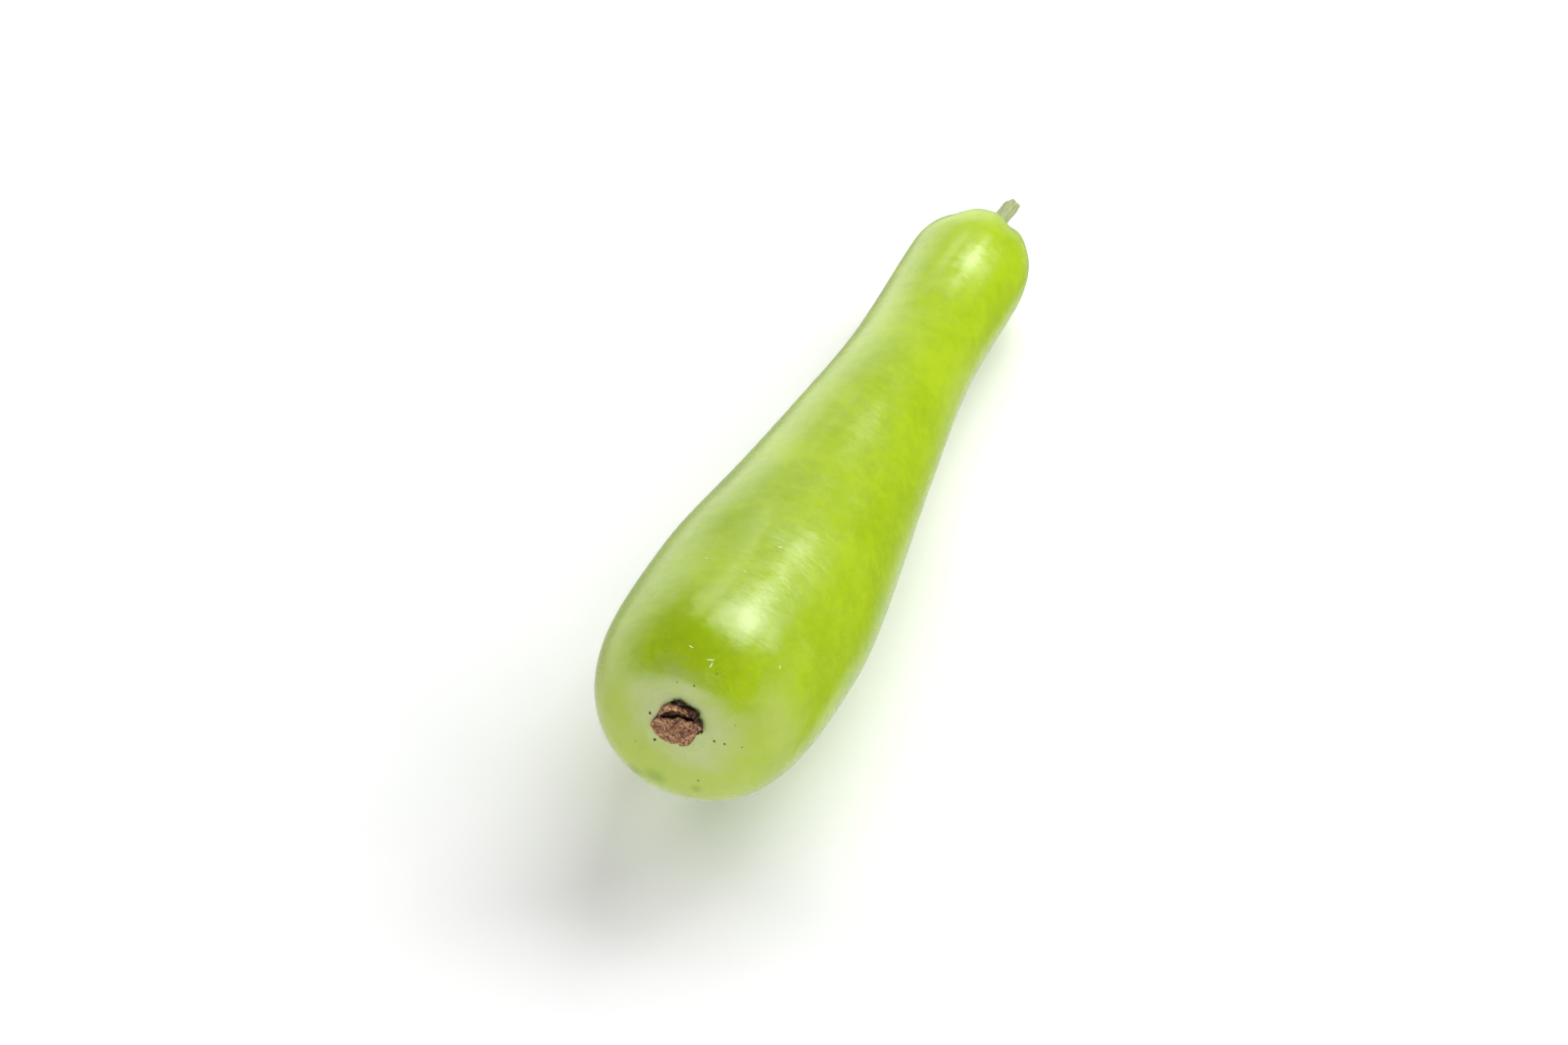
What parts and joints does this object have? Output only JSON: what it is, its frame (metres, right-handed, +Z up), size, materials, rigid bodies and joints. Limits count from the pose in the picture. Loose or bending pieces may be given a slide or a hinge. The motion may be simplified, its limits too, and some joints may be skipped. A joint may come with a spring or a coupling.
{
  "type": "bottle gourd",
  "caption": "Pale green bottle gourd lying on its side: a full belly, a slim neck, a lobed stem end with a cut, ribbed stalk, and a dried brown flower in the blossom scar.",
  "frame": {"origin": "on the surface the gourd lies on, below the middle of its outer box", "axes": "+Y along the fruit from the blossom end to the stalk, +Z up, +X across"},
  "size_m": [0.0902, 0.3858, 0.0942],
  "materials": {
    "skin": "waxy, satin, yellow green with paler mottling",
    "stalk": "ribbed, downy, pale grey green with a brown cut end",
    "dried_flower": "crumpled, matt, light to dark brown"
  },
  "bodies": {
    "root": {"fruit": "skin", "stem": "stalk", "dried_flower": "dried_flower"}
  },
  "joints": []
}
